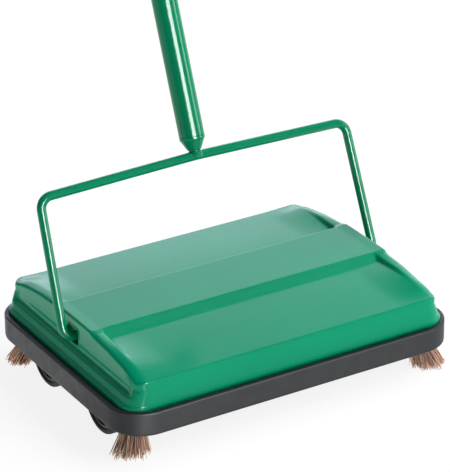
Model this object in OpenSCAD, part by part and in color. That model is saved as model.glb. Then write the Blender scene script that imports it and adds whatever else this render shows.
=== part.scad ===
// Carpet sweeper: a low pressed-steel cover on a bumpered frame, a wheel-driven brush roller,
// two sprung dust pans and a long jointed handle on a wire bail.
// Millimetres. Origin on the floor under the middle of the body, X along the body, +Y towards
// the back, +Z up. The handle is drawn at its resting lean.

/* [Body] */
// Length over the bumper
body_length = 324; // [290:1:350]
// Width over the bumper
body_width = 237.6; // [210:0.2:260]
// Plan radius of the bumper corners
bumper_corner = 31.3; // [26:0.1:36]
// How far the cover sits in from the bumper face
cover_inset = 6.2; // [5:0.1:8]
// Underside of the bumper above the floor
bumper_bottom = 27.5; // [24:0.5:30]
// Line where the bumper meets the cover
bumper_top = 48.5; // [46:0.5:50]
// Sheet thickness of the cover
sheet = 1.0; // [0.8:0.1:1.5]
// Height of the flat centre band
band_height = 84; // [80:0.5:90]
// Half width of the flat centre band
band_half = 29.5; // [24:0.5:34]
// Height of the cover at its front and back edges
edge_height = 73; // [70:0.5:76]
// Distance of the upper end walls from the middle
end_wall = 146; // [140:0.5:147]

/* [Handle] */
// Lean of the handle at rest, from vertical
lean = 21.34; // [0:0.5:60]
// Height of the bail pivot
pivot_height = 67.74; // [64:0.1:72]
// Bail wire diameter
wire_d = 8; // [6:0.5:10]
// Half width of the bail at its feet
bail_foot = 154; // [152:0.5:158]
// Half width of the bail at its top corners
bail_head = 149.9; // [148:0.1:154]
// Pivot to the bail corners
bail_reach = 117.54; // [116.5:0.1:122]
// Pivot to the crown of the bail
bail_crown = 120.78; // [119:0.1:124]
// Handle tube diameter
tube_d = 22; // [19:0.5:25]
// Handle tube wall
tube_wall = 1.2; // [0.8:0.1:2]
// Length of each handle section
section = 289; // [240:1:320]

/* [Running gear] */
// Wheel diameter
wheel_d = 54.4; // [50:0.2:56]
// Wheel tread width
wheel_w = 14; // [10:0.5:14]
// Half distance between the front and rear axles
axle_y = 47.2; // [46.9:0.1:50]
// Roller axis above the floor
roller_z = 32; // [31.5:0.1:34]
// Radius over the roller bristles
bristle_r = 31.5; // [29:0.1:31.8]
// Radius of the drive bands
drive_r = 20; // [18:0.1:20.2]
// Running clearance of bores over pins, on radius
run = 0.05; // [0.02:0.01:0.1]

/* [Hidden] */
$fn = 48;
hx = body_length / 2;
hy = body_width / 2;
ccx = hx - bumper_corner;
ccy = hy - bumper_corner;
rim_x = hx - cover_inset;
rim_y = hy - cover_inset;
rim_r = bumper_corner - cover_inset;
plate_in = 128;
plate_out = 132;
wheel_r = wheel_d / 2;
wheel_out = plate_out + 2 + wheel_w;
wire_r = wire_d / 2;
tube_r = tube_d / 2;
t0 = 138;
t1 = t0 + section;
t2 = t1 + 4 + section - 3;
t3 = t2 + 4 + section + 9;
grip_a = t3 - 88;
grip_b = t3 + 20;
rod_y = 104;
rod_z = 36;

green = [0.10, 0.62, 0.48];
vinyl = [0.25, 0.27, 0.28];
steel = [0.78, 0.79, 0.80];
black = [0.09, 0.09, 0.09];
bristle = [0.36, 0.25, 0.15];
wood = [0.66, 0.49, 0.30];
zinc = [0.62, 0.63, 0.63];
ivory = [0.16, 0.17, 0.17];

// ---- shared shapes -------------------------------------------------------------------------

// rounded rectangle by half sizes
module rrect(ax, ay, r) {
    square([2 * (ax - r), 2 * ay], center = true);
    square([2 * ax, 2 * (ay - r)], center = true);
    for (sx = [-1, 1], sy = [-1, 1]) translate([sx * (ax - r), sy * (ay - r)]) circle(r);
}

module rprism(ax, ay, r, za, zb) {
    translate([0, 0, za]) linear_extrude(zb - za) rrect(ax, ay, r);
}

// a section in Y and Z, run along X
module run_x(xa, xb) {
    translate([xa, 0, 0]) rotate([90, 0, 90]) linear_extrude(xb - xa) children();
}

// a round bar along X
module bar_x(xa, xb, y, z, r) {
    translate([xa, y, z]) rotate([0, 90, 0]) cylinder(h = xb - xa, r = r);
}

// turned shape about an axis along X; the section is drawn as radius, distance along X
module turned_x(y, z, side = 1) {
    translate([0, y, z]) rotate([0, side * 90, 0]) rotate_extrude() children();
}

// everything on the handle side of the pivot
module on_handle() {
    translate([0, 0, pivot_height]) rotate([-lean, 0, 0]) children();
}

// ---- cover and bumper ----------------------------------------------------------------------

// half of the roof line, from the middle out: the panels, then the raised end margins
function panel_line(i) = [[band_half, band_height - i], [37, 78 - i], [108 - i, edge_height - i]];
function margin_line(i) = [[band_half, band_height - i], [46, 83 - i], [60, 81 - i], [76, 79 - i],
    [91, 77 - i], [100, 75.3 - i], [108 - i, edge_height - i]];

module cover_section(i, line) {
    side = concat(line, [[110.3 - i, 71.6 - i], [111.2 - i, 69.5], [rim_y - 0.7 - i, 58],
        [rim_y - i, 50], [rim_y - i, 44]]);
    n = len(side);
    polygon(concat([for (k = [0:n - 1]) [side[k][0], side[k][1]]],
        [for (k = [n - 1:-1:0]) [-side[k][0], side[k][1]]]));
}

module cover_body(i, za) {
    intersection() {
        union() {
            rprism(rim_x - i, rim_y - i, rim_r - i, za, 51 - i);
            rprism(152 - i, 112.4 - i, 23 - i, za, 54.5 - i);
            rprism(149.5 - i, 112.2 - i, 21 - i, za, 58.5 - i);
            rprism(end_wall - i, 112 - i, 13 - i, za, 90);
        }
        union() {
            run_x(-160, 160) cover_section(i, panel_line(i));
            run_x(-160, -132 + i) cover_section(i, margin_line(i));
            run_x(132 - i, 160) cover_section(i, margin_line(i));
        }
    }
}

module top_cover() color(green) difference() {
    cover_body(0, 46);
    cover_body(sheet, 45);
    for (s = [-1, 1]) intersection() {
        translate([s * 144, 0, 69.2]) cube([8, 22, 15.6], center = true);
        bar_x(s > 0 ? 138 : -150, s > 0 ? 150 : -138, 0, 69.2, 11.6);
    }
}

module bumper_section() {
    r = bumper_corner;
    b = bumper_bottom;
    polygon([[r - 1, b], [r, b + 1], [r, 46], [r - 0.3, 47], [r - 0.9, 47.8], [r - 1.8, 48.3],
        [r - 2.8, bumper_top], [rim_r + 1.5, 48.3], [rim_r + 0.05, 46.7], [rim_r + 0.05, 45.9], [rim_r - 1, 45.9],
        [rim_r - 1, b + 1.5], [rim_r - 4.6, b + 1.5], [rim_r - 4.6, b]]);
}

module bumper_ring() {
    for (k = [[1, 1, 0], [-1, 1, 90], [-1, -1, 180], [1, -1, 270]])
        translate([k[0] * ccx, k[1] * ccy, 0]) rotate([0, 0, k[2]])
            rotate_extrude(angle = 90) bumper_section();
    for (a = [0, 180]) rotate([0, 0, a]) {
        translate([-ccx, ccy, 0]) rotate([90, 0, 90]) linear_extrude(2 * ccx) bumper_section();
        rotate([0, 0, 90]) translate([-ccy, ccx, 0]) rotate([90, 0, 90])
            linear_extrude(2 * ccy) bumper_section();
    }
}

module bumper() color(vinyl) difference() {
    bumper_ring();
    // room for the splice strip at the middle of the back
    translate([-15.1, hy - 1.0, 30.9]) cube([30.2, 3, 10.2]);
}

// strip that covers the joint in the bumper, at the back
module bumper_splice() color(vinyl) union() {
    translate([-15, hy - 1.0, 31]) cube([30, 1.4, 10]);
    for (s = [-1, 1]) translate([s * 10, hy + 0.4, 36]) rotate([-90, 0, 0]) cylinder(h = 0.7, r = 2.4);
}

// ---- frame ---------------------------------------------------------------------------------

module chassis_frame() color(black) difference() {
    union() {
        difference() {
            rprism(rim_x - 1.05, rim_y - 1.05, rim_r - 1.05, 29, 50);
            rprism(rim_x - 4.05, rim_y - 4.05, rim_r - 4.05, 28, 51);
        }
        for (sx = [-1, 1], sy = [-1, 1]) intersection() {
            rprism(rim_x - 3, rim_y - 3, rim_r - 3, 29, 31.5);
            translate([sx * 147, sy * 96, 30]) cube([40, 40, 8], center = true);
        }
        // stiffening fins along the front and back
        for (sy = [-1, 1], x = [-96, -48, 0, 48, 96])
            translate([x - 1.5, sy > 0 ? 107 : -109, 41]) cube([3, 2, 9]);
    }
    for (sx = [-1, 1], sy = [-1, 1]) translate([sx * 130, sy * 99, 28]) cylinder(h = 4, r = 1.45);
}

module bulkhead_outline() {
    difference() {
        polygon([[-108.4, 31.5], [-108.4, 63], [-100, 67], [-46, 67], [-20, 68], [-15, 78], [15, 78],
            [20, 68], [46, 67], [100, 67], [108.4, 63], [108.4, 31.5], [75.5, 31.5], [73, 19],
            [-73, 19], [-75.5, 31.5]]);
        translate([0, roller_z]) circle(6.02);
        translate([0, pivot_height]) circle(6.52);
        for (s = [-1, 1]) {
            translate([s * axle_y, wheel_r]) circle(3.02);
            translate([s * rod_y, rod_z]) circle(1.52);
            translate([s * 72, 53]) circle(7);
            translate([s * 90, 53]) circle(5);
        }
    }
}

module bulkhead(s) color(zinc) difference() {
    union() {
        run_x(s > 0 ? plate_in : -plate_out, s > 0 ? plate_out : -plate_in) bulkhead_outline();
        // bosses behind the axles
        for (sy = [-1, 1]) difference() {
            bar_x(s > 0 ? plate_in - 1.6 : -plate_in, s > 0 ? plate_in : -plate_in + 1.6, sy * axle_y, wheel_r, 7);
            bar_x(-200, 200, sy * axle_y, wheel_r, 3.02);
        }
    }
    for (sy = [-1, 1]) translate([s * 130, sy * 99, 30]) cylinder(h = 10.6, r = 1.45);
}

module bulkhead_left() bulkhead(-1);
module bulkhead_right() bulkhead(1);

module bulkhead_screws() color(zinc)
    for (sx = [-1, 1], sy = [-1, 1]) translate([sx * 130, sy * 99, 0]) union() {
        translate([0, 0, 29]) cylinder(h = 11, r = 1.4);
        difference() {
            translate([0, 0, 27.2]) cylinder(h = 1.8, r1 = 2.0, r2 = 2.8);
            translate([0, 0, 27.4]) cube([6, 0.7, 0.9], center = true);
        }
    }

module roller_bush(s) color(black)
    turned_x(0, roller_z, s) polygon([[3 + run, 127.2], [7.6, 127.2], [7.6, 128], [6, 128],
        [6, 133.4], [3 + run, 133.4]]);
module roller_bush_left() roller_bush(-1);
module roller_bush_right() roller_bush(1);

module bail_bush(s) color(black)
    turned_x(0, pivot_height, s) polygon([[wire_r + run, 126.6], [8, 126.6], [8, 128], [6.5, 128],
        [6.5, 133.6], [wire_r + run, 133.6]]);
module bail_bush_left() bail_bush(-1);
module bail_bush_right() bail_bush(1);

module wheel_axles() color(steel)
    for (s = [-1, 1], sy = [-1, 1])
        turned_x(sy * axle_y, wheel_r, s) polygon([[0, 125.6], [4.2, 125.6], [4.6, 126], [4.6, 126.4],
            [3, 126.4], [3, 148.7], [2.4, 148.7], [2.4, 149.7], [3, 149.7], [3, 150.4], [2.6, 151], [0, 151]]);

module axle_clips() color(zinc)
    for (s = [-1, 1], sy = [-1, 1]) difference() {
        bar_x(s > 0 ? 148.8 : -149.6, s > 0 ? 149.6 : -148.8, sy * axle_y, wheel_r, 5.6);
        bar_x(-200, 200, sy * axle_y, wheel_r, 2.42);
        translate([s * 149.2, sy * axle_y + 4, wheel_r]) cube([2, 8, 3.4], center = true);
    }

// toothed strip that rakes the roller clean
module brush_comb(s) color(zinc) translate([0, 0, roller_z]) rotate([-s * 47, 0, 0])
    translate([0, 0.8, 0]) rotate([90, 0, 0]) linear_extrude(1.6)
        polygon(concat([[-128, 52], [-128, 43]],
            [for (i = [0:20]) for (p = [[-121 + i * 12, 43], [-120 + i * 12, 32.6], [-118.4 + i * 12, 32.6],
                [-117.4 + i * 12, 43]]) p],
            [[128, 43], [128, 52]]));
module brush_comb_front() brush_comb(-1);
module brush_comb_rear() brush_comb(1);

module pan_rod(s) color(steel) union() {
    bar_x(-133, 133, s * rod_y, rod_z, 1.5);
    for (e = [-1, 1]) bar_x(e > 0 ? 133 : -134.2, e > 0 ? 134.2 : -133, s * rod_y, rod_z, 2.3);
}
module pan_hinge_rod_front() pan_rod(-1);
module pan_hinge_rod_rear() pan_rod(1);

// torsion spring: coils round the rod, one leg up to the frame
module pan_spring(s) color(steel) union() {
    turned_x(s * rod_y, rod_z) polygon(concat(
        [for (i = [0:10]) for (p = [[1.62, -8.25 + i * 1.5], [2.9, -7.5 + i * 1.5]]) p],
        [[1.62, 8.25]]));
    translate([-6.7, s * (rod_y + 2.05), rod_z]) cylinder(h = 12, r = 0.7);
    translate([6.7, s * (rod_y + 2.05), rod_z]) cylinder(h = 8, r = 0.7);
}
module pan_spring_front() pan_spring(-1);
module pan_spring_rear() pan_spring(1);

// splayed tuft: leans outwards and widens down to the floor
module tuft(sx, sy) color(bristle) intersection() {
    translate([sx * 137, sy * 86, 25.5]) rotate([sy * 8, -sx * 9.8, 0]) translate([0, 0, -32])
        cylinder(h = 33, r1 = 17.4, r2 = 9.6);
    translate([sx * 140, sy * 90, 12]) cube([80, 80, 24], center = true);
}
module corner_brush_front_left() tuft(-1, -1);
module corner_brush_front_right() tuft(1, -1);
module corner_brush_rear_left() tuft(-1, 1);
module corner_brush_rear_right() tuft(1, 1);

module corner_brush_holders() color(black)
    for (sx = [-1, 1], sy = [-1, 1]) translate([sx * 137.2, sy * 86.2, 0]) difference() {
        translate([0, 0, 24]) cylinder(h = 5, r = 10.8);
        translate([0, 0, 23]) cylinder(h = 1.6, r = 9.2);
    }

// ---- wheels --------------------------------------------------------------------------------

module wheel_hub(sx, sy) color(black) difference() {
    turned_x(sy * axle_y, wheel_r, sx) polygon([[3 + run, wheel_out - wheel_w + 0.2], [7, wheel_out - wheel_w + 0.2],
        [8, wheel_out - 10], [19, wheel_out - 10], [19.5, wheel_out - wheel_w + 1], [22.6, wheel_out - wheel_w + 1],
        [22.6, wheel_out - 1], [19.5, wheel_out - 1], [19, wheel_out - 6], [8, wheel_out - 6],
        [7, wheel_out + 0.3], [3 + run, wheel_out + 0.3]]);
    for (a = [0:72:288]) translate([sx * (wheel_out - 8), sy * axle_y, wheel_r]) rotate([a, 0, 0])
        translate([0, 13.5, 0]) rotate([0, 90, 0]) cylinder(h = 8, r = 3.4, center = true);
}

module wheel_tyre(sx, sy) color(black)
    turned_x(sy * axle_y, wheel_r, sx) polygon([[22.6, wheel_out - wheel_w], [25.8, wheel_out - wheel_w],
        [wheel_r, wheel_out - wheel_w + 1.4], [wheel_r, wheel_out - 8.2], [wheel_r - 0.9, wheel_out - 7.6],
        [wheel_r - 0.9, wheel_out - 6.4], [wheel_r, wheel_out - 5.8], [wheel_r, wheel_out - 1.4],
        [25.8, wheel_out], [22.6, wheel_out]]);

module wheel_hub_front_left() wheel_hub(-1, -1);
module wheel_hub_front_right() wheel_hub(1, -1);
module wheel_hub_rear_left() wheel_hub(-1, 1);
module wheel_hub_rear_right() wheel_hub(1, 1);
module wheel_tyre_front_left() wheel_tyre(-1, -1);
module wheel_tyre_front_right() wheel_tyre(1, -1);
module wheel_tyre_rear_left() wheel_tyre(-1, 1);
module wheel_tyre_rear_right() wheel_tyre(1, 1);

// ---- brush roller --------------------------------------------------------------------------

module roller_shaft() color(steel)
    turned_x(0, roller_z) polygon([[0, -149.5], [2.4, -149.5], [3, -148.9], [3, 148.9], [2.4, 149.5], [0, 149.5]]);

module roller_core() color(wood)
    turned_x(0, roller_z) polygon([[3.01, -124.5], [9, -124.5], [9, -121], [11, -120], [11, 120], [9, 121],
        [9, 124.5], [3.01, 124.5]]);

module bristle_rows() color(bristle) translate([0, 0, roller_z])
    for (a = [45:90:315]) rotate([a, 0, 0]) difference() {
        translate([-117, -2.4, 9]) cube([234, 4.8, bristle_r - 9]);
        translate([-118, 0, 0]) rotate([0, 90, 0]) cylinder(h = 236, r = 11);
        // trim the tips to the sweep circle
        difference() {
            translate([-118, -3, 20]) cube([236, 6, 14]);
            translate([-119, 0, 0]) rotate([0, 90, 0]) cylinder(h = 238, r = bristle_r - 0.1);
        }
    }

module drive_pulley(s) color(black)
    turned_x(0, roller_z, s) polygon([[3.01, 133.9], [8, 133.9], [8, 139], [16, 139], [16, 135.2], [17, 135.2],
        [17, 146.8], [16, 146.8], [16, 142], [8, 142], [8, 148], [3.01, 148]]);
module drive_pulley_left() drive_pulley(-1);
module drive_pulley_right() drive_pulley(1);

module drive_band(s) color(vinyl)
    turned_x(0, roller_z, s) polygon([[17, 135.4], [drive_r - 0.8, 135.4], [drive_r, 136.2], [drive_r, 145.8],
        [drive_r - 0.8, 146.6], [17, 146.6]]);
module drive_band_left() drive_band(-1);
module drive_band_right() drive_band(1);

// ---- dust pans -----------------------------------------------------------------------------

lip = [for (a = [2:-4:-42]) [35 * cos(a), roller_z + 35 * sin(a)]];
lip_back = [for (a = [-38:4:2]) [36.2 * cos(a), roller_z + 36.2 * sin(a)]];

module pan_section() polygon(concat(lip, [[26.9, 7.78], [60, 8.8], [98.6, 18.6], [103.4, 33.6],
    [102.1, 33.9], [97.7, 19.9], [60, 10.05]], lip_back));

module pan_end() polygon(concat(lip, [[26.9, 7.78], [60, 8.8], [98.6, 18.6], [103.4, 33.6]]));

module dust_pan(s) color(zinc) rotate([0, 0, s > 0 ? 0 : 180]) difference() {
    union() {
        run_x(-125, 125) pan_section();
        run_x(-125, -123.8) pan_end();
        run_x(123.8, 125) pan_end();
        for (x = [-120, -24, 10, 100]) bar_x(x, x + (abs(x) > 50 ? 20 : 14), rod_y, rod_z, 3.4);
        // pressed stiffening beads across the floor
        for (x = [-75, 0, 75]) run_x(x - 4, x + 4) polygon([[40, 8.7], [60, 9.3], [88, 16.4], [88, 14.9],
            [60, 7.7], [40, 7.2]]);
    }
    bar_x(-140, 140, rod_y, rod_z, 1.5 + run);
    // room for the spring coils
    bar_x(-9.4, 9.4, rod_y, rod_z, 3.3);
}
module dust_pan_front() dust_pan(-1);
module dust_pan_rear() dust_pan(1);

// ---- handle --------------------------------------------------------------------------------

foot_len = norm([bail_foot - bail_head, bail_reach]);
leg_tilt = atan2(bail_foot - bail_head, bail_reach);
bar_rise = atan2(bail_crown - bail_reach, bail_head);
foot_bend = 9;
head_bend = 11;
foot_turn = 90 + leg_tilt;
head_turn = 90 - leg_tilt - bar_rise;
foot_tan = foot_bend * tan(foot_turn / 2);
head_tan = head_bend * tan(head_turn / 2);
leg_dir = [-sin(leg_tilt), cos(leg_tilt)];
bar_dir = [-cos(bar_rise), sin(bar_rise)];
leg_a = [bail_foot + foot_tan * leg_dir[0], foot_tan * leg_dir[1]];
leg_b = [bail_head - head_tan * leg_dir[0], bail_reach - head_tan * leg_dir[1]];
bar_a = [bail_head + head_tan * bar_dir[0], bail_reach + head_tan * bar_dir[1]];

// wire between two points of the bail plane
module wire(p, q) {
    translate([p[0], 0, p[1]]) rotate([0, atan2(q[0] - p[0], q[1] - p[1]), 0])
        cylinder(h = norm(q - p), r = wire_r);
}

// faint ring on the wire
module mark(p, d) {
    translate([p[0], 0, p[1]]) rotate([0, atan2(d[0], d[1]), 0]) translate([0, 0, -0.2])
        cylinder(h = 0.4, r = wire_r + 0.04);
}

// wire bend about a centre in the bail plane
module bend(c, r, from, turn) {
    translate([c[0], 0, c[1]]) rotate([90, 0, 0]) rotate([0, 0, from])
        rotate_extrude(angle = turn) translate([r, 0]) circle(wire_r);
}

module bail_half() {
    wire([120.2, 0], [bail_foot - foot_tan, 0]);
    bend([bail_foot - foot_tan, foot_bend], foot_bend, -90, foot_turn);
    wire(leg_a, leg_b);
    // draw marks where the straights meet the bends
    mark([bail_foot - foot_tan, 0], [1, 0]);
    mark(leg_a, leg_dir);
    mark(leg_b, leg_dir);
    mark(bar_a, bar_dir);
    bend([leg_b[0] + head_bend * (-leg_dir[1]), leg_b[1] + head_bend * leg_dir[0]], head_bend,
        leg_tilt, head_turn);
    wire(bar_a, [0, bail_crown]);
}

module bail_shape() {
    bail_half();
    mirror([1, 0, 0]) bail_half();
    translate([0, 0, bail_crown]) sphere(wire_r + 0.25);
}

module bail_wire() color(steel) on_handle() bail_shape();

module bail_retainer(s) color(black)
    turned_x(0, pivot_height, s) polygon([[wire_r + 0.01, 121.4], [6, 121.4], [6.6, 122.2], [6.6, 125.8], [wire_r + 0.01, 125.8]]);
module bail_retainer_left() bail_retainer(-1);
module bail_retainer_right() bail_retainer(1);

// stud welded on the crown of the bail
module handle_stud() color(steel) on_handle() difference() {
    rotate_extrude() polygon([[0, 119], [5.6, 119], [6.2, 121.6], [5.6, 124], [5, 125.2], [5, 152], [4.4, 152.8], [0, 152.8]]);
    translate([-9, 0, bail_crown]) rotate([0, 90, 0]) cylinder(h = 18, r = wire_r);
}

module handle_ferrule() color(steel) on_handle() rotate_extrude()
    polygon([[5.02, 125.6], [5.6, 125.6], [6.2, 126.2], [tube_r - 0.9, 133.9], [tube_r - 0.2, 134.8], [tube_r, 135.6],
        [tube_r, 137.2], [tube_r - 0.5, 137.6], [tube_r - tube_wall - 0.03, 137.6], [tube_r - tube_wall - 0.03, 152],
        [tube_r - tube_wall - 0.6, 152.8], [5.02, 152.8]]);

module tube(a, b) color(steel) on_handle() translate([0, 0, a]) difference() {
    cylinder(h = b - a, r = tube_r);
    translate([0, 0, -1]) cylinder(h = b - a + 2, r = tube_r - tube_wall);
}
module tube_lower() tube(137.6, t1);
module tube_middle() tube(t1 + 4, t2);
module tube_upper() tube(t2 + 4, t3);

// plug with a raised collar that joins two tube sections
module coupler(t) color(steel) on_handle() rotate_extrude()
    polygon([[5, t - 22], [tube_r - tube_wall - 0.8, t - 22], [tube_r - tube_wall - 0.03, t - 21],
        [tube_r - tube_wall - 0.03, t], [tube_r + 0.2, t], [tube_r + 0.8, t + 0.8], [tube_r + 0.8, t + 3.2],
        [tube_r + 0.2, t + 4], [tube_r - tube_wall - 0.03, t + 4], [tube_r - tube_wall - 0.03, t + 25],
        [tube_r - tube_wall - 0.8, t + 26], [5, t + 26]]);
module coupler_lower() coupler(t1);
module coupler_upper() coupler(t2);

module hand_grip() color(ivory) on_handle() rotate_extrude()
    polygon(concat([[tube_r + 0.03, grip_a], [12.4, grip_a], [13.6, grip_a + 1.2], [14.2, grip_a + 4]],
        [for (i = [0:8]) for (p = [[14.2, grip_a + 12 + i * 10], [13.4, grip_a + 13.2 + i * 10],
            [13.4, grip_a + 14.8 + i * 10], [14.2, grip_a + 16 + i * 10]]) p],
        [[14.2, grip_b - 2], [13.6, grip_b], [tube_r + 0.03, grip_b]]));

module grip_end_cap() color(ivory) on_handle() difference() {
    union() {
        translate([0, 0, t3]) cylinder(h = grip_b - t3, r = tube_r);
        rotate_extrude() polygon([[0, grip_b], [13.6, grip_b], [13.2, grip_b + 2], [11, grip_b + 4], [0, grip_b + 4.4]]);
        rotate([90, 0, 90]) translate([0, 0, -3.5]) linear_extrude(7) union() {
            translate([0, grip_b + 12]) circle(9);
            translate([-9, grip_b + 1]) square([18, 11]);
        }
    }
    rotate([0, 90, 0]) translate([-grip_b - 12, 0, -10]) cylinder(h = 20, r = 4);
}

// ---- which sub-part to draw ----------------------------------------------------------------

top_cover();
bumper();
bumper_splice();
chassis_frame();
bulkhead_left();
bulkhead_right();
bulkhead_screws();
roller_bush_left();
roller_bush_right();
bail_bush_left();
bail_bush_right();
wheel_axles();
axle_clips();
brush_comb_front();
brush_comb_rear();
pan_hinge_rod_front();
pan_hinge_rod_rear();
pan_spring_front();
pan_spring_rear();
corner_brush_front_left();
corner_brush_front_right();
corner_brush_rear_left();
corner_brush_rear_right();
corner_brush_holders();
wheel_hub_front_left();
wheel_hub_front_right();
wheel_hub_rear_left();
wheel_hub_rear_right();
wheel_tyre_front_left();
wheel_tyre_front_right();
wheel_tyre_rear_left();
wheel_tyre_rear_right();
roller_shaft();
roller_core();
bristle_rows();
drive_pulley_left();
drive_pulley_right();
drive_band_left();
drive_band_right();
dust_pan_front();
dust_pan_rear();
bail_wire();
bail_retainer_left();
bail_retainer_right();
handle_stud();
handle_ferrule();
tube_lower();
coupler_lower();
tube_middle();
coupler_upper();
tube_upper();
hand_grip();
grip_end_cap();
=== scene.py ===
import math

import bpy
import numpy as np
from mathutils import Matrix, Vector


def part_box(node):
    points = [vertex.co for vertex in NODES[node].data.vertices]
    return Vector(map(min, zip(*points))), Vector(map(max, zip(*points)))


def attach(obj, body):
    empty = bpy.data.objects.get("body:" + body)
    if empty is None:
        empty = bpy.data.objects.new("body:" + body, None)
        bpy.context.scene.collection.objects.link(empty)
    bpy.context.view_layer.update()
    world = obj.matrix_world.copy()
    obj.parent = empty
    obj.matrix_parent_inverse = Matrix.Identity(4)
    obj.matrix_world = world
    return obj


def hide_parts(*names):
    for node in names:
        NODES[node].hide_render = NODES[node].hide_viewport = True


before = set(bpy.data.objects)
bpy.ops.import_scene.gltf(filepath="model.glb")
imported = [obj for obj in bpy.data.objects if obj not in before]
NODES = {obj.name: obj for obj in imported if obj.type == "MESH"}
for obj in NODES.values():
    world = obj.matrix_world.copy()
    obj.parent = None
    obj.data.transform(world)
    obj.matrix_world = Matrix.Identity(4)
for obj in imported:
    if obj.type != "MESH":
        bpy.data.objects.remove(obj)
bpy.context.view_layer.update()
rng = np.random.default_rng(7)
MM = 0.001


# ------------------------------------------------------------------ camera
def vec(*a):
    return np.array(a, float)


a, e = math.radians(30.778), math.radians(25.466)
back = vec(-math.sin(a) * math.cos(e), -math.cos(a) * math.cos(e), math.sin(e))
right = vec(math.cos(a), -math.sin(a), 0)
up = np.cross(back, right)
roll = math.radians(-0.56)
right2 = math.cos(roll) * right + math.sin(roll) * up
up2 = -math.sin(roll) * right + math.cos(roll) * up
target = vec(2.184, 0, 138.03) * MM
pos = target + 2.32925 * back

from mathutils import Matrix, Vector

cam_data = bpy.data.cameras.new("camera")
cam_data.sensor_width = 36
cam_data.lens = 2764.27 * 36 / 472
cam_data.shift_x = 0
cam_data.shift_y = (218.487 - 236) / 472
cam_data.clip_start, cam_data.clip_end = 0.1, 60
cam = bpy.data.objects.new("camera", cam_data)
m = Matrix(((right2[0], up2[0], back[0], pos[0]), (right2[1], up2[1], back[1], pos[1]), (right2[2], up2[2], back[2], pos[2]), (0, 0, 0, 1)))
cam.matrix_world = m
bpy.context.scene.collection.objects.link(cam)
bpy.context.scene.camera = cam
bpy.context.scene.view_settings.view_transform = "Standard"
bpy.context.scene.view_settings.look = "None"


# ------------------------------------------------------------------ materials
class Nodes:
    def __init__(self, name):
        self.mat = bpy.data.materials.new(name)
        self.mat.use_nodes = True
        self.t = self.mat.node_tree
        self.t.nodes.clear()
        self.out = self.n("ShaderNodeOutputMaterial")
        self.bsdf = self.n("ShaderNodeBsdfPrincipled")
        self.link(self.bsdf.outputs[0], self.out.inputs[0])
        self.co = self.n("ShaderNodeTexCoord").outputs["Object"]

    def n(self, kind, **kw):
        x = self.t.nodes.new(kind)
        for k, v in kw.items():
            setattr(x, k, v)
        return x

    def link(self, a, b):
        self.t.links.new(a, b)

    def scaled(self, sx, sy, sz):
        mp = self.n("ShaderNodeMapping")
        mp.inputs["Scale"].default_value = (sx, sy, sz)
        self.link(self.co, mp.inputs["Vector"])
        return mp.outputs[0]

    def noise(self, scale, detail=3, rough=0.5, co=None):
        x = self.n("ShaderNodeTexNoise")
        x.inputs["Scale"].default_value = scale
        x.inputs["Detail"].default_value = detail
        x.inputs["Roughness"].default_value = rough
        self.link(co or self.co, x.inputs["Vector"])
        return x.outputs[0]

    def ramp(self, fac, stops):
        r = self.n("ShaderNodeValToRGB")
        el = r.color_ramp.elements
        while len(el) < len(stops):
            el.new(0.5)
        for k, (p, c) in enumerate(stops):
            el[k].position = p
            el[k].color = (*c, 1)
        self.link(fac, r.inputs[0])
        return r.outputs[0]

    def rng(self, fac, lo, hi, f0=0.3, f1=0.7):
        r = self.n("ShaderNodeMapRange")
        for k, v in (("From Min", f0), ("From Max", f1), ("To Min", lo), ("To Max", hi)):
            r.inputs[k].default_value = v
        self.link(fac, r.inputs["Value"])
        return r.outputs[0]

    def mix(self, fac, c1, c2, mode="MIX"):
        x = self.n("ShaderNodeMix", data_type="RGBA", blend_type=mode)
        for k, v in ((0, fac), (6, c1), (7, c2)):
            if isinstance(v, (int, float)):
                x.inputs[k].default_value = v
            elif isinstance(v, tuple):
                x.inputs[k].default_value = (*v, 1)
            else:
                self.link(v, x.inputs[k])
        return x.outputs[2]

    def bump(self, height, strength, dist, normal=None):
        b = self.n("ShaderNodeBump")
        b.inputs["Strength"].default_value = strength
        b.inputs["Distance"].default_value = dist
        self.link(height, b.inputs["Height"])
        if normal is not None:
            self.link(normal, b.inputs["Normal"])
        return b.outputs[0]

    def set(self, key, v):
        s = self.bsdf.inputs[key]
        if hasattr(v, "is_linked") or hasattr(v, "links"):
            self.link(v, s)
        else:
            s.default_value = v


def shade(c, f):
    return tuple(min(1, x * f) for x in c)


def enamel(name, base, rough=(0.13, 0.2), ior=1.42, peel=0.05):
    q = Nodes(name)
    big = q.noise(9, 3)
    fine = q.noise(55, 5, 0.6)
    col = q.ramp(big, [(0.3, shade(base, 0.95)), (0.7, shade(base, 1.05))])
    speck = q.rng(q.noise(420, 2, 0.4), 0, 1, 0.70, 0.78)
    col = q.mix(speck, col, shade(base, 0.9))
    q.set("Base Color", col)
    q.set("Roughness", q.rng(fine, *rough))
    q.set("IOR", ior)
    q.set("Normal", q.bump(q.noise(900, 2, 0.35), peel, 0.0004))
    return q.mat


def plastic(name, base, rough=(0.4, 0.55), grain=1800, strength=0.25, dist=0.0003, ior=1.45, scuff=0.25):
    q = Nodes(name)
    big = q.noise(14, 4, 0.6)
    col = q.ramp(big, [(0.3, shade(base, 0.88)), (0.7, shade(base, 1.12))])
    rub = q.rng(q.noise(70, 6, 0.7), 0, scuff, 0.55, 0.75)
    light = tuple(x + 0.05 for x in base)
    q.set("Base Color", q.mix(rub, col, light))
    q.set("Roughness", q.rng(q.noise(120, 4, 0.6), *rough))
    q.set("IOR", ior)
    q.set("Normal", q.bump(q.noise(grain, 3, 0.5), strength, dist))
    return q.mat


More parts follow.
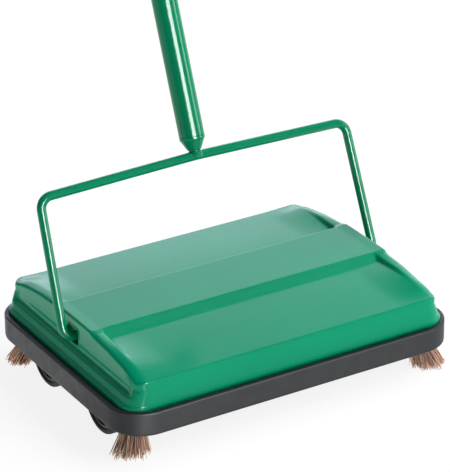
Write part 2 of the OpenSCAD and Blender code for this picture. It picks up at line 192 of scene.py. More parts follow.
def metal(name, base, rough=(0.22, 0.4), stretch=(4, 300, 300), strength=0.12):
    q = Nodes(name)
    streak = q.noise(1, 3, 0.6, q.scaled(*stretch))
    big = q.noise(30, 4, 0.6)
    col = q.ramp(big, [(0.3, shade(base, 0.82)), (0.7, shade(base, 1.05))])
    q.set("Base Color", col)
    q.set("Metallic", 1.0)
    q.set("Roughness", q.rng(streak, *rough))
    q.set("Normal", q.bump(streak, strength, 0.0001))
    return q.mat


def fibre(name, dark, mid, light, rough=0.55):
    q = Nodes(name)
    at = q.n("ShaderNodeAttribute", attribute_name="tone")
    along = q.noise(260, 3, 0.6, q.scaled(1, 1, 0.25))
    s = q.n("ShaderNodeMath", operation="ADD")
    q.link(at.outputs["Fac"], s.inputs[0])
    q.link(q.rng(along, -0.18, 0.18), s.inputs[1])
    q.set("Base Color", q.ramp(s.outputs[0], [(0.1, dark), (0.5, mid), (0.9, light)]))
    q.set("Roughness", rough)
    q.set("IOR", 1.4)
    return q.mat


GREEN = (0.0, 0.405, 0.205)
M = {
    "cover": enamel("enamel_cover", GREEN, (0.17, 0.23), 1.22, 0.03),
    "wire": enamel("enamel_wire", (0.0, 0.33, 0.15), (0.1, 0.16), 1.3),
    "tube": enamel("enamel_tube", (0.0, 0.32, 0.145), (0.12, 0.18), 1.3),
    "bumper": plastic("bumper_vinyl", (0.019, 0.023, 0.026), (0.44, 0.56), 2200, 0.2, ior=1.33, scuff=0.12),
    "frame": plastic("frame_black", (0.018, 0.018, 0.02), (0.5, 0.65)),
    "bush": plastic("bush_nylon", (0.03, 0.03, 0.032), (0.35, 0.5), scuff=0.1),
    "wheel": plastic("wheel_plastic", (0.018, 0.018, 0.019), (0.35, 0.5)),
    "tyre": plastic("wheel_rubber", (0.014, 0.014, 0.015), (0.6, 0.8), 1400, 0.4, scuff=0.5),
    "band": plastic("drive_rubber", (0.02, 0.02, 0.021), (0.6, 0.8), 1400, 0.4, scuff=0.5),
    "pulley": plastic("pulley_plastic", (0.028, 0.028, 0.03), (0.4, 0.55)),
    "grip": plastic("grip_plastic", (0.02, 0.02, 0.022), (0.3, 0.42), 1600, 0.2),
    "zinc": metal("bulkhead_zinc", (0.5, 0.51, 0.52), (0.3, 0.5)),
    "screw": metal("screw_zinc", (0.56, 0.56, 0.54), (0.25, 0.4), (200, 200, 200)),
    "steel": metal("axle_steel", (0.58, 0.58, 0.59), (0.15, 0.3)),
    "comb": metal("comb_steel", (0.5, 0.5, 0.5), (0.3, 0.45)),
    "spring": metal("spring_steel", (0.3, 0.3, 0.31), (0.25, 0.4), (300, 300, 300)),
    "pan": enamel("pan_steel", (0.03, 0.032, 0.034), (0.3, 0.45), 1.45, 0.12),
}


def wood(name):
    q = Nodes(name)
    grain = q.noise(1, 5, 0.65, q.scaled(9, 260, 260))
    q.set("Base Color", q.ramp(grain, [(0.3, (0.3, 0.175, 0.08)), (0.5, (0.47, 0.3, 0.15)), (0.7, (0.58, 0.4, 0.22))]))
    q.set("Roughness", q.rng(grain, 0.45, 0.65))
    q.set("Normal", q.bump(grain, 0.3, 0.0003))
    return q.mat


M["wood"] = wood("roller_wood")
M["corner"] = fibre("corner_bristle", (0.085, 0.028, 0.015), (0.56, 0.25, 0.14), (1.0, 0.72, 0.49))
M["roller"] = fibre("roller_bristle", (0.015, 0.012, 0.01), (0.05, 0.034, 0.022), (0.14, 0.095, 0.06))

CAD_LOOK = {
    "frame": ["chassis_frame", "corner_brush_holders"],
    "bumper": ["bumper_splice"],
    "zinc": ["bulkhead_left", "bulkhead_right"],
    "screw": ["bulkhead_screws", "axle_clips"],
    "bush": ["roller_bush_left", "roller_bush_right", "bail_bush_left", "bail_bush_right", "bail_retainer_left", "bail_retainer_right"],
    "steel": ["wheel_axles", "roller_shaft", "pan_hinge_rod_front", "pan_hinge_rod_rear"],
    "comb": ["brush_comb_front", "brush_comb_rear"],
    "spring": ["pan_spring_front", "pan_spring_rear"],
    "wheel": [n for n in NODES if n.startswith("wheel_hub")],
    "wood": ["roller_core"],
    "pulley": ["drive_pulley_left", "drive_pulley_right"],
    "band": ["drive_band_left", "drive_band_right"],
    "pan": ["dust_pan_front", "dust_pan_rear"],
    "wire": ["handle_stud", "handle_ferrule"],
    "tube": ["tube_lower", "tube_middle", "tube_upper", "coupler_lower", "coupler_upper"],
    "grip": ["hand_grip", "grip_end_cap"],
}
for look, names in CAD_LOOK.items():
    for n in names:
        ob = NODES[n]
        ob.data.materials.clear()
        ob.data.materials.append(M[look])


# ------------------------------------------------------------------ mesh helpers
def add_mesh(name, verts, faces, mat, body, replaces=(), smooth=True, scale=MM, tone=None, autosmooth=None):
    me = bpy.data.meshes.new(name)
    v = np.asarray(verts, np.float32) * scale
    me.from_pydata(v.tolist(), [], [tuple(f) for f in faces])
    me.validate()
    me.update()
    if smooth:
        me.polygons.foreach_set("use_smooth", [True] * len(me.polygons))
    me.materials.append(M[mat])
    if tone is not None:
        at = me.attributes.new("tone", "FLOAT", "POINT")
        at.data.foreach_set("value", np.asarray(tone, np.float32))
    ob = bpy.data.objects.new(name, me)
    bpy.context.scene.collection.objects.link(ob)
    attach(ob, body)
    if replaces:
        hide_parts(*replaces)
    return ob


def grid_faces(rows, cols, wrap=False, offset=0):
    f = []
    cc = cols if wrap else cols - 1
    for r in range(rows - 1):
        for c in range(cc):
            d = (c + 1) % cols
            f.append((offset + r * cols + c, offset + r * cols + d, offset + (r + 1) * cols + d, offset + (r + 1) * cols + c))
    return f


def lathe(profile, n, axis="x", centre=(0, 0, 0), closed=False):
    """profile: list of (radius, along)."""
    v, prof = [], list(profile)
    for k in range(n):
        t = 2 * math.pi * k / n
        for r, s in prof:
            if axis == "x":
                v.append((centre[0] + s, centre[1] + r * math.cos(t), centre[2] + r * math.sin(t)))
            else:
                v.append((centre[0] + r * math.cos(t), centre[1] + r * math.sin(t), centre[2] + s))
    m_ = len(prof)
    f = []
    for k in range(n):
        k2 = (k + 1) % n
        for j in range(m_ if closed else m_ - 1):
            j2 = (j + 1) % m_
            f.append((k * m_ + j, k * m_ + j2, k2 * m_ + j2, k2 * m_ + j))
    return v, f


# ------------------------------------------------------------------ cover
def soft_ramp(t, k=0.09):
    sp = lambda x: k * np.logaddexp(0, x / k)
    return np.clip(sp(t) - sp(t - 1), 0, 1)


E_U, E_Z = [0, 29.5, 37, 46, 60, 76, 91, 100, 108, 112], [85.6, 85.4, 83.3, 82.3, 80.7, 78.4, 75.9, 74.0, 73.0, 72.6]


def end_line(u):
    return float(np.interp(u, E_U, E_Z))


def crease_x(u):
    return 133.0 + 2.7 * float(np.clip((u - 41.5) / 48.1, 0, 1))


def roof(x, y):
    u, ax = abs(y), abs(x)
    p = (78 - 5 * (max(u - 37, 0) / 71) ** 1.2 + max(37 - u, 0) * 0.05) if u < 108 else 73 - (u - 108) * 0.08
    lift = max(0.0, end_line(max(u, 37)) - p) + float(np.interp(u, [40, 60, 92, 106], [1.5, 2.4, 2.3, 0.8]))
    cx_ = crease_x(u)
    rise_ = float(np.clip((ax - 106) / (cx_ - 106), 0, 1)) ** 1.6
    part_ = float(np.interp(u, [37, 50, 65, 80, 95], [0.5, 0.42, 0.3, 0.12, 0.0]))
    out_ = float(np.interp(u, [37, 50, 65, 80], [0.35, 0.25, 0.1, 0.0]))
    step_ = float(soft_ramp(np.array((ax - cx_ + 0.3) / 2.4), 0.16))
    slope_ = float(np.clip((ax - 134.5) / 11.0, 0, 1))
    roll_ = float(np.clip((ax - cx_ - 1.6) / (144 - cx_ - 1.6), 0, 1.2))
    q = p + lift * ((1 - part_ - out_) * rise_ + part_ * step_ + out_ * float(np.clip((ax - cx_) / 9, 0, 1))) - 1.5 * roll_ ** 2
    t = float(soft_ramp(np.array((u - 29.8) / 5.6), 0.06))
    crown_ = 84.4 + 0.7 * slope_ + 0.15 * (1 - (u / 29.5) ** 2 if u < 29.5 else 0)
    return crown_ + (min(q, crown_) - crown_) * t if u < 45 else q


CX, CY, EDGE = 131.6, 97.6, 2.3
CX_ = 131.6
xs_pos = np.concatenate([np.arange(0, 120, 4.0), np.arange(120, 130, 2.0), [131, CX_]])
xs = np.unique(np.concatenate([-xs_pos, xs_pos]))
ys_pos = np.concatenate([[0, 4, 8, 12, 16, 20, 24, 27], np.arange(28, 39, 0.55), [41, 43, 46, 50, 55, 60, 65, 70, 73, 76, 80, 84, 88, 92, 95, CY]])
ys = np.unique(np.concatenate([-ys_pos, ys_pos]))
phis = np.radians(np.arange(9, 90, 9.0))
# outline points, anticlockwise from the right side's lower corner: each is ("s", side, coordinate) or ("c", quadrant, phi)
outline = []
outline += [("R", y) for y in ys]
outline += [("C", 0, p) for p in phis]
outline += [("T", x) for x in xs[::-1]]
outline += [("C", 1, p) for p in phis]
outline += [("L", y) for y in ys[::-1]]
outline += [("C", 2, p) for p in phis]
outline += [("B", x) for x in xs]
outline += [("C", 3, p) for p in phis]


def stretch(c, keep, at, to):
    s, u = (1 if c >= 0 else -1), abs(c)
    return s * (u if u <= keep else keep + (u - keep) * (to - keep) / (at - keep))


def ring_xy(hx, hy, r):
    cx, cy = hx - r, hy - r
    pts = []
    for o in outline:
        if o[0] == "R":
            pts.append((hx, stretch(o[1], 40, CY, cy)))
        elif o[0] == "L":
            pts.append((-hx, stretch(o[1], 40, CY, cy)))
        elif o[0] == "T":
            pts.append((stretch(o[1], 100, CX, cx), hy))
        elif o[0] == "B":
            pts.append((stretch(o[1], 100, CX, cx), -hy))
        else:
            t = o[2] + o[1] * math.pi / 2
            sx, sy = [(1, 1), (-1, 1), (-1, -1), (1, -1)][o[1]]
            pts.append((sx * cx + r * math.cos(t), sy * cy + r * math.sin(t)))
    return pts


cover_v, rings = [], []


def put_ring(hx, hy, r, z, shift=None):
    base = len(cover_v)
    for k, (x, y) in enumerate(ring_xy(hx, hy, r)):
        zz = z(x, y) if callable(z) else z
        if shift:
            x, y = shift(x, y, zz)
        cover_v.append((x, y, zz))
    rings.append(base)


Z_TOP = 72.0
IN_Z = [46.0, 50.9, 51.4, 51.8, 52.5, 53.6, 55.0, 56.2, 57.2, 57.8, 58.1, 58.6, 59.4, 60.4, 61.4, 63.0, 76.0, 90.0]
IN_X = [155.8, 155.1, 154.3, 153.4, 152.9, 152.6, 152.3, 151.8, 150.9, 149.8, 148.6, 147.6, 146.8, 146.2, 145.9, 145.7, 145.3, 145.3]


def outer_x(z):
    """drafted end wall where nothing is pressed in"""
    if z > 52.2:
        return 146.1 + max(0.0, Z_TOP - z) * 0.04 + max(0.0, 66.5 - z) * 0.40
    return float(np.interp(z, [46, 49.6, 50.3, 50.9, 51.4, 51.8, 52.2], [155.8, 155.8, 155.6, 155.1, 154.3, 153.4, 152.55]))


def lean(y):
    """how far the end's top edge rolls inwards between the corners"""
    return 0.8 * float(np.interp(abs(y), [0, 28, 38, 84, 97], [0.6, 0.6, 1, 1, 0]))


def roll_in(d):
    k_ = max(0.0, 1 - max(0.0, d - 2.3) / 7)
    return lambda x, y, z: (x - math.copysign(lean(y) * k_, x) if abs(x) > 128 else x, y)


def inner_x(y, z):
    x_ = float(np.interp(z, IN_Z, IN_X))
    u = abs(y)
    t_ = float(np.clip((z - (end_line(u) - 7.5)) / 5.2, 0, 1))
    return x_ - (x_ - 146.1 + lean(y)) * t_ ** 2 if z > 60 else x_


def wall_x(y, z):
    w_ = float(np.clip((103.5 - abs(y)) / 6.0, 0, 1))
    w_ = w_ * w_ * (3 - 2 * w_)
    o_, i_ = outer_x(z), inner_x(y, z)
    return o_ + (min(i_, o_) - o_) * w_


def press(x, y, z):
    """press the long recess and its ledge into each end wall"""
    if abs(x) > 138:
        full = outer_x(z)
        x -= math.copysign(full - wall_x(y, z), x)
    return x, y


def side_y(z):
    return 112.6 - 0.05 * (z - 46) if z < 56 else 112.1 - 0.055 * (z - 56)


for z in (46.0, 49.6, 50.3, 50.9, 51.4, 51.8, 52.2, 52.8, 53.6, 54.4, 55.2, 56.0, 56.7, 57.3, 57.8, 58.2, 58.6, 59.1, 59.7, 60.4, 61.2, 62.2, 63.2):
    r = float(np.interp(z, [46, 50.3, 52.2, 57, 72], [18.8, 18.5, 16.2, 13.5, 9.5]))
    put_ring(outer_x(z), side_y(z), r, z, press)
Z0 = 63.2
for s in (0.12, 0.24, 0.36, 0.48, 0.6, 0.7, 0.78, 0.85, 0.91, 0.96, 1.0):
    zm = Z0 + s * (72 - Z0)
    put_ring(outer_x(zm), side_y(zm), float(np.interp(zm, [57, 72], [13.5, 9.5])), lambda x, y, s=s: Z0 + s * (roof(x, y) - EDGE - Z0), press)
HX, HY, R_PLAN = 146.1, side_y(72), 9.5
for deg in (15, 30, 45, 60, 75, 90):
    t = math.radians(deg)
    d = EDGE * (1 - math.cos(t))
    put_ring(HX - d, HY - d, R_PLAN - d, lambda x, y, t=t: roof(x, y) - EDGE * (1 - math.sin(t)), roll_in(d))
for d in (3.0, 3.8, 4.8, 5.8, 6.6, 7.2, *np.arange(7.6, 14.0, 0.4)):
    put_ring(HX - d, HY - d, max(0.5, R_PLAN - d), roof, roll_in(d))
N_OUT = len(outline)
faces = []
for k in range(len(rings) - 1):
    for c in range(N_OUT):
        d = (c + 1) % N_OUT
        faces.append((rings[k] + c, rings[k] + d, rings[k + 1] + d, rings[k + 1] + c))
# roof grid inside the last ring
inner = rings[-1]
last = [cover_v[inner + k] for k in range(N_OUT)]
nR = len(ys)
nC = len(phis)
nT = len(xs)
iR = list(range(0, nR))
iC0 = list(range(nR, nR + nC))
iT = list(range(nR + nC, nR + nC + nT))
iC1 = list(range(nR + nC + nT, nR + 2 * nC + nT))
iL = list(range(nR + 2 * nC + nT, 2 * nR + 2 * nC + nT))
iC2 = list(range(2 * nR + 2 * nC + nT, 2 * nR + 3 * nC + nT))
iB = list(range(2 * nR + 3 * nC + nT, 2 * nR + 3 * nC + 2 * nT))
iC3 = list(range(2 * nR + 3 * nC + 2 * nT, 2 * nR + 4 * nC + 2 * nT))
right_side = iC3 + iR + iC0          # from the bottom up, excluding the first and last rows' corners
left_side = (iC2[::-1] + iL[::-1] + iC1[::-1])
rows_idx = []
bottom_row = [inner + k for k in iB]
top_row = [inner + k for k in iT[::-1]]
rows_idx.append(bottom_row)
extra = np.unique(np.concatenate([xs]))
for l_, r_ in zip(left_side, right_side):
    xl, yl, _ = last[l_]
    xr, yr, _ = last[r_]
    row = [inner + l_]
    for x in xs[1:-1]:
        xx = stretch(x, 100, CX, xr)
        row.append(len(cover_v))
        cover_v.append((xx, yr, roof(xx, yr)))
    row.append(inner + r_)
    rows_idx.append(row)
rows_idx.append(top_row)
for r in range(len(rows_idx) - 1):
    A, B = rows_idx[r], rows_idx[r + 1]
    for c in range(len(A) - 1):
        faces.append((A[c], A[c + 1], B[c + 1], B[c]))
cover = add_mesh("cover_shell", cover_v, faces, "cover", "chassis", ["top_cover"])
sol = cover.modifiers.new("sheet", "SOLIDIFY")
sol.thickness = 0.0009
sol.offset = -1


def hole_outline(n=10):
    """the bail hole: a 22 x 15.6 window rounded by an 11.6 circle, as (y, z)"""
    pts = []
    for t in np.radians(np.arange(0, 360, 360 / (8 * n))):
        c, s_ = math.cos(t), math.sin(t)
        r_ = 11.6
        if abs(c) * r_ > 11:
            r_ = 11 / abs(c)
        if abs(s_) * r_ > 7.8:
            r_ = 7.8 / abs(s_)
        pts.append((r_ * c, 69.2 + r_ * s_))
    return pts


cutters = []
for sgn in (-1, 1):
    pts = hole_outline()
    n_ = len(pts)
    v_ = [(sgn * x_, y_, z_) for x_ in (138, 150) for y_, z_ in pts]
    f_ = [tuple(range(n_))[::-1], tuple(range(n_, 2 * n_))] + [(k, (k + 1) % n_, n_ + (k + 1) % n_, n_ + k) for k in range(n_)]
    if sgn < 0:
        f_ = [tuple(reversed(f)) for f in f_]
    me_ = bpy.data.meshes.new("cut")
    me_.from_pydata([tuple(c * MM for c in p) for p in v_], [], f_)
    me_.update()
    co_ = bpy.data.objects.new("cut", me_)
    bpy.context.scene.collection.objects.link(co_)
    cutters.append(co_)
    bo = cover.modifiers.new("hole", "BOOLEAN")
    bo.operation = "DIFFERENCE"
    bo.solver = "EXACT"
    bo.object = co_
bpy.context.view_layer.update()
cut_mesh = bpy.data.meshes.new_from_object(cover.evaluated_get(bpy.context.evaluated_depsgraph_get()))
cover.modifiers.clear()
cover.data = cut_mesh
for co_ in cutters:
    bpy.data.objects.remove(co_)


for sgn, tag_ in ((-1, "left"), (1, "right")):
    v_, f_ = lathe([(12.4, sgn * 143.3), (12.2, sgn * 141.0), (11.4, sgn * 139.0), (9.5, sgn * 137.5), (3.9, sgn * 137.1)], 40, centre=(0, 0, 69.2))
    add_mesh(f"bail_pocket_{tag_}", v_, f_, "cover", "chassis")


def tube_along(points, radius, n=12, closed=False, taper=None, flat=None):
    """round tube through the points; returns verts, faces"""
    P = np.asarray(points, float)
    L = len(P)
    T = np.zeros_like(P)
    for k in range(L):
        a_ = P[(k - 1) % L] if (closed or k > 0) else P[k]
        b_ = P[(k + 1) % L] if (closed or k < L - 1) else P[k]
        T[k] = (b_ - a_) / (np.linalg.norm(b_ - a_) + 1e-12)
    nrm = np.cross(T[0], (0, 0, 1.0))
    if np.linalg.norm(nrm) < 0.1:
        nrm = np.cross(T[0], (0, 1.0, 0))
    nrm /= np.linalg.norm(nrm)
    v = []
    for k in range(L):
        nrm = nrm - T[k] * (nrm @ T[k])
        nrm /= np.linalg.norm(nrm) + 1e-12
        b_ = np.cross(T[k], nrm)
        rr = radius if taper is None else radius * taper[k]
        for j in range(n):
            t = 2 * math.pi * j / n
            v.append(P[k] + rr * (math.cos(t) * nrm + math.sin(t) * b_))
    f = []
    for k in range(L if closed else L - 1):
        k2 = (k + 1) % L
        for j in range(n):
            j2 = (j + 1) % n
            f.append((k * n + j, k * n + j2, k2 * n + j2, k2 * n + j))
    if not closed:
        f.append(tuple(range(n))[::-1])
        f.append(tuple((L - 1) * n + j for j in range(n)))
    return v, f


# rolled lips round the bail slots
for sgn, sn in ((-1, "left"), (1, "right")):
    loop = [(sgn * (wall_x(y_, z_) - 0.35), y_, z_) for y_, z_ in hole_outline()]
    v_, f_ = tube_along(loop, 1.15, 12, closed=True)
    add_mesh(f"slot_lip_{sn}", v_, f_, "cover", "chassis")


# ------------------------------------------------------------------ bumper
def bumper_profile():
    r, b = 31.3, 27.5
    p = [(r - 4.6, b), (r - 1.4, b), (r - 0.7, b + 0.15), (r - 0.2, b + 0.6), (r, b + 1.3), (r, 31.0), (r, 36.0), (r, 42.0), (r, 45.4), (r, 46.9)]
    for t in range(15, 85, 15):
        p.append((r - 1.3 * (1 - math.cos(math.radians(t))), 46.9 + 1.35 * math.sin(math.radians(t))))
    p += [(29.2, 48.3), (28.2, 48.3), (27.4, 48.1), (26.9, 47.7), (26.4, 47.1), (26.1, 46.4), (25.16, 46.2), (24.1, 46.0), (24.1, 29.0), (26.7, 29.0)]
    return p


bp = bumper_profile()
bv = []
BCX, BCY = 162 - 31.3, 118.8 - 31.3
stations = []
for q, (sx, sy) in enumerate([(1, 1), (-1, 1), (-1, -1), (1, -1)]):
    for t in np.linspace(0, 90, 15):
        stations.append((sx * BCX, sy * BCY, math.radians(q * 90 + t)))
    # straight run to the next corner
    nx, ny = [(-1, 1), (-1, -1), (1, -1), (1, 1)][q]
    for w in (0.25, 0.5, 0.75):
        stations.append((sx * BCX * (1 - w) + nx * BCX * w, sy * BCY * (1 - w) + ny * BCY * w, math.radians(q * 90 + 90)))
for cx_, cy_, t in stations:
    for r_, z_ in bp:
        bv.append((cx_ + r_ * math.cos(t), cy_ + r_ * math.sin(t), z_))
n_p = len(bp)
bf = []
for k in range(len(stations)):
    k2 = (k + 1) % len(stations)
    for j in range(n_p):
        j2 = (j + 1) % n_p
        bf.append((k * n_p + j, k2 * n_p + j, k2 * n_p + j2, k * n_p + j2))
bumper = add_mesh("bumper_strip", bv, bf, "bumper", "chassis", ["bumper"])


# ------------------------------------------------------------------ bail wire
LEAN = math.radians(21.34)
PIV = 67.74


def on_handle(p):
    x, y, t = p
    return (x, y * math.cos(LEAN) + t * math.sin(LEAN), PIV + t * math.cos(LEAN) - y * math.sin(LEAN))


def arc(c, r, a0, a1, n):
    return [(c[0] + r * math.cos(math.radians(t)), 0, c[1] + r * math.sin(math.radians(t))) for t in np.linspace(a0, a1, n)]


foot, head, reach, crown = 154.0, 149.9, 117.54, 120.78
tilt = math.atan2(foot - head, reach)
rise = math.atan2(crown - reach, head)
t1 = 9 * math.tan(math.radians(45) + tilt / 2)
t2 = 11 * math.tan((math.pi / 2 - tilt - rise) / 2)
ld = (-math.sin(tilt), math.cos(tilt))
bd = (-math.cos(rise), math.sin(rise))
lb = (head - t2 * ld[0], reach - t2 * ld[1])
half = [(120.2, 0, 0), (124, 0, 0), (130, 0, 0), (138, 0, 0)]
half += arc((foot - t1, 9), 9, -90, math.degrees(tilt), 14)
for w in np.linspace(0.08, 0.96, 12):
    la = (foot + t1 * ld[0], t1 * ld[1])
    half.append((la[0] * (1 - w) + lb[0] * w, 0, la[1] * (1 - w) + lb[1] * w))
half += arc((lb[0] - 11 * ld[1], lb[1] + 11 * ld[0]), 11, math.degrees(tilt), math.degrees(math.pi / 2 - rise), 14)
ba = (head + t2 * bd[0], reach + t2 * bd[1])
for w in np.linspace(0.05, 1, 18):
    x_ = ba[0] * (1 - w)
    half.append((x_, 0, ba[1] * (1 - w) + crown * w - 0.15 * w ** 6))
path = [on_handle(p) for p in half] + [on_handle((-x, y, t)) for x, y, t in half[-2::-1]]
v_, f_ = tube_along(path, 4.0, 28)
bar = add_mesh("bail_bar", v_, f_, "wire", "handle", ["bail_wire"])
bar.visible_glossy = False


# ------------------------------------------------------------------ bristles
def strands(paths, r0, r1, tones, sides=4):
    """paths: (n, k, 3); tapered strands as one mesh"""
    P = np.asarray(paths, float)
    n, k, _ = P.shape
    T = np.gradient(P, axis=1)
    T /= np.linalg.norm(T, axis=2, keepdims=True) + 1e-9
    ref = np.where(np.abs(T[:, :, 2:3]) > 0.9, np.array([1.0, 0, 0]), np.array([0, 0, 1.0]))
    A = np.cross(T, ref)
    A /= np.linalg.norm(A, axis=2, keepdims=True) + 1e-9
    B = np.cross(T, A)
    rad = np.linspace(r0, r1, k)[None, :, None]
    vs = []
    for s in range(sides):
        t = 2 * math.pi * s / sides
        vs.append(P + rad * (math.cos(t) * A + math.sin(t) * B))
    V = np.stack(vs, 2).reshape(-1, 3)
    F = []
    for i in range(n):
        base = i * k * sides
        for j in range(k - 1):
            for s in range(sides):
                s2 = (s + 1) % sides
                F.append((base + j * sides + s, base + j * sides + s2, base + (j + 1) * sides + s2, base + (j + 1) * sides + s))
        F.append(tuple(base + s for s in range(sides))[::-1])
        F.append(tuple(base + (k - 1) * sides + s for s in range(sides)))
    tone = np.repeat(np.asarray(tones), k * sides)
    return V, F, tone


TUFTS = {
    ("front", "left"): ((-138.2, -88.0), (-142.4, -91.6), (16.4, 12.6)),
    ("rear", "left"): ((-138.0, 87.8), (-147.6, 97.8), (10.6, 11.2)),
    ("front", "right"): ((138.6, -87.4), (148.4, -93.4), (14.4, 14.0)),
    ("rear", "right"): ((138.0, 87.4), (147.0, 95.0), (14.6, 14.2)),
}
for (fn, sn), (top, bot, r_floor) in TUFTS.items():
    n = 540
    top, bot, r_floor = np.array(top), np.array(bot), np.array(r_floor)[None, :]
    r_top = r_floor * 8.6 / r_floor.mean() ** 0.5 / r_floor ** 0.5
    rr = np.sqrt(rng.random(n))
    th = rng.random(n) * 2 * math.pi
    d = np.stack([np.cos(th), np.sin(th)], 1)
    s_ = np.linspace(0, 1, 8)
    reach_ = rng.normal(1, 0.07, n)[:, None]
    end_z = np.clip(rng.gamma(1.3, 0.9, n) * (0.4 + 1.1 * rr ** 2), 0.1, 7)
    paths = np.zeros((n, 8, 3))
    j1 = rng.normal(0, 0.8, (n, 2))
    j2 = rng.normal(0, 1.2, (n, 2))
    k3 = rng.normal(0, 1.0, n)
    stray = rng.random(n) < 0.06
    for k, s in enumerate(s_):
        c = top * (1 - s) + bot * s
        spread = r_top + (r_floor * reach_ - r_top) * (0.55 * s + 0.45 * s ** 1.8)
        clump = 0.8 * np.sin(th * 6 + 1.7 * top[0]) * s
        xy = c + d * rr[:, None] * spread + (j1 * s + j2 * s * (1 - s) * 1.6) + d * (clump * rr)[:, None]
        xy += d * (stray * s ** 2 * 2.0)[:, None]
        sx_ = math.copysign(1, top[0])
        xy[:, 0] = sx_ * np.maximum(sx_ * xy[:, 0], 127.0 + 0.8 * rr)
        paths[:, k, :2] = xy
        paths[:, k, 2] = 27.4 * (1 - s) + end_z * s + 0.8 * np.sin(s * math.pi) * rr
    tones = np.clip(rng.normal(0.5, 0.27, n), 0, 1)
    V, F, tone = strands(paths, 0.4, 0.23, tones)
    V[:, 2] = np.maximum(V[:, 2], 0.05)
    add_mesh(f"corner_tuft_{fn}_{sn}", V, F, "corner", "chassis", [f"corner_brush_{fn}_{sn}"], tone=tone)

# spiral rows of bristles on the roller
paths, tones = [], []
for row in range(4):
    for x in np.arange(-116, 116.1, 2.9):
        base_a = math.radians(45 + row * 90 + (x + 116) / 232 * 70)
        for b in range(16):
            aa = base_a + rng.normal(0, 0.045)
            xx = x + rng.normal(0, 0.7)
            lean_ = rng.normal(0, 0.05)
            r_end = 31.3 - abs(rng.normal(0, 0.45))
            seg = []
            for s in np.linspace(0, 1, 4):
                r_ = 10.6 + (r_end - 10.6) * s
                ang = aa + lean_ * s ** 2
                seg.append((xx + rng.normal(0, 0.5) * s, r_ * math.cos(ang), 32 + r_ * math.sin(ang)))
            paths.append(seg)
            tones.append(rng.random())
V, F, tone = strands(paths, 0.3, 0.2, tones, 3)
rad = np.hypot(V[:, 1], V[:, 2] - 32)
f_ = np.minimum(1, 31.45 / np.maximum(rad, 1e-6))
V[:, 1] *= f_
V[:, 2] = 32 + (V[:, 2] - 32) * f_
add_mesh("roller_bristles", V, F, "roller", "roller", ["bristle_rows"], tone=tone)

# ------------------------------------------------------------------ tyres
for sx, sn in ((-1, "left"), (1, "right")):
    for sy, fn in ((-1, "front"), (1, "rear")):
        node = f"wheel_tyre_{fn}_{sn}"
        lo_, hi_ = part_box(node)
        x0, x1 = lo_.x * 1000, hi_.x * 1000
        prof = [(22.6, x0), (24.6, x0), (26.0, x0 + 0.3), (26.8, x0 + 1.0), (27.15, x0 + 2.0)]
        for g in (4.0, 7.0, 10.0):
            prof += [(27.2, x0 + g - 0.7), (26.6, x0 + g - 0.35), (26.6, x0 + g + 0.35), (27.2, x0 + g + 0.7)]
        prof += [(27.15, x1 - 2.0), (26.8, x1 - 1.0), (26.0, x1 - 0.3), (24.6, x1), (22.6, x1)]
        v_, f_ = lathe(prof, 96, "x", (0, sy * 47.2, 27.2), closed=True)
        v_ = np.array(v_)
        if sx < 0:
            pass
        ob = add_mesh(f"tyre_{fn}_{sn}", v_, f_, "tyre", f"wheel_{fn}_{sn}", [node])

# ------------------------------------------------------------------ floor, light
q = Nodes("floor_pale")
q.set("Base Color", q.ramp(q.noise(3, 3), [(0.3, (0.235, 0.235, 0.235)), (0.7, (0.245, 0.245, 0.245))]))
q.set("Roughness", 0.9)
q.set("Specular IOR Level", 0.0)
q.set("Emission Color", (1, 1, 1, 1))
q.set("Emission Strength", 0.86)
tr = q.n("ShaderNodeBsdfTransparent")
mx = q.n("ShaderNodeMixShader")
ge = q.n("ShaderNodeNewGeometry")
q.link(ge.outputs["Backfacing"], mx.inputs[0])
q.link(q.bsdf.outputs[0], mx.inputs[1])
q.link(tr.outputs[0], mx.inputs[2])
q.link(mx.outputs[0], q.out.inputs[0])
me = bpy.data.meshes.new("floor")
me.from_pydata([(-9, -9, 0), (9, -9, 0), (9, 9, 0), (-9, 9, 0)], [], [(0, 1, 2, 3)])
me.materials.append(q.mat)
floor = bpy.data.objects.new("floor", me)
bpy.context.scene.collection.objects.link(floor)

world = bpy.data.worlds.new("studio")
bpy.context.scene.world = world
world.use_nodes = True
wt = world.node_tree
wt.nodes.clear()
wo = wt.nodes.new("ShaderNodeOutputWorld")
wb = wt.nodes.new("ShaderNodeBackground")
wb.inputs[0].default_value = (0.97, 0.985, 1.0, 1)
wb.inputs[1].default_value = 0.1
wt.links.new(wb.outputs[0], wo.inputs[0])


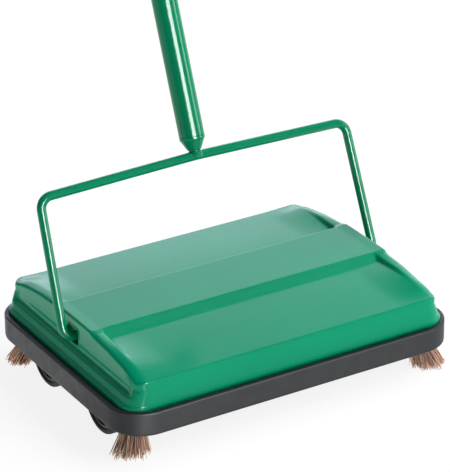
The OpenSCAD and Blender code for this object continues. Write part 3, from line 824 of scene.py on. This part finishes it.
def area(name, at, aim, sx, sy, radiance, diffuse=True, glossy=True, color=(1, 1, 1)):
    d = bpy.data.lights.new(name, "AREA")
    d.shape = "RECTANGLE"
    d.size, d.size_y = sx, sy
    d.energy = radiance * math.pi * sx * sy
    d.color = color
    o = bpy.data.objects.new(name, d)
    z = (Vector(at) - Vector(aim)).normalized()
    o.rotation_mode = "QUATERNION"
    o.rotation_quaternion = z.to_track_quat("Z", "Y")
    o.location = at
    o.visible_camera = False
    o.visible_diffuse = diffuse
    o.visible_glossy = glossy
    bpy.context.scene.collection.objects.link(o)
    return o


def polar(az, el, dist, centre=(0, 0, 0.07)):
    """az from +y towards +x, in degrees"""
    az, el = math.radians(az), math.radians(el)
    return (centre[0] + dist * math.sin(az) * math.cos(el), centre[1] + dist * math.cos(az) * math.cos(el), centre[2] + dist * math.sin(el))


MID = (0, 0, 0.07)
# soft key from the front right, softer top light; neither shows in the enamel
area("key", polar(142, 40, 3.2), MID, 1.9, 1.9, 4.5, glossy=False)
area("top", polar(80, 52, 3.0), MID, 2.4, 2.4, 2.3, glossy=False)
# backdrop seen in the lid: bright near the horizon, falling off upwards
for el0, el1, rad in ((1, 9, 1.4), (9, 15, 1.4), (15, 18, 1.12), (18, 20.5, 1.04), (20.5, 23, 1.02), (23, 25.5, 1.02), (25.5, 28, 1.06), (28, 31, 1.12), (31, 34, 1.1), (34, 38, 0.88), (38, 44, 0.55), (44, 52, 0.25)):
    w_ = math.radians(el1 - el0) * 4.0
    area(f"backdrop_{el0}", polar(30.8, (el0 + el1) / 2, 4.0), MID, 6.4, w_, rad * 2.1, diffuse=False, color=(0.97, 0.93, 1.2))
# tall strip and a narrow one that draw the streaks on the tubes
area("strip", polar(182.5, 17, 2.7), MID, 1.40, 1.7, 42, diffuse=False)
area("strip_side", polar(122, 12, 2.8), MID, 0.8, 1.6, 10, diffuse=False)
area("floor_card", (-0.3175, 0.26, 0.002), (-0.3175, 0.26, 1), 0.305, 0.5, 0.5, diffuse=False)
area("low_card", (-0.17, -0.26, 0.002), (-0.17, -0.26, 1), 0.03, 0.22, 7, diffuse=False)
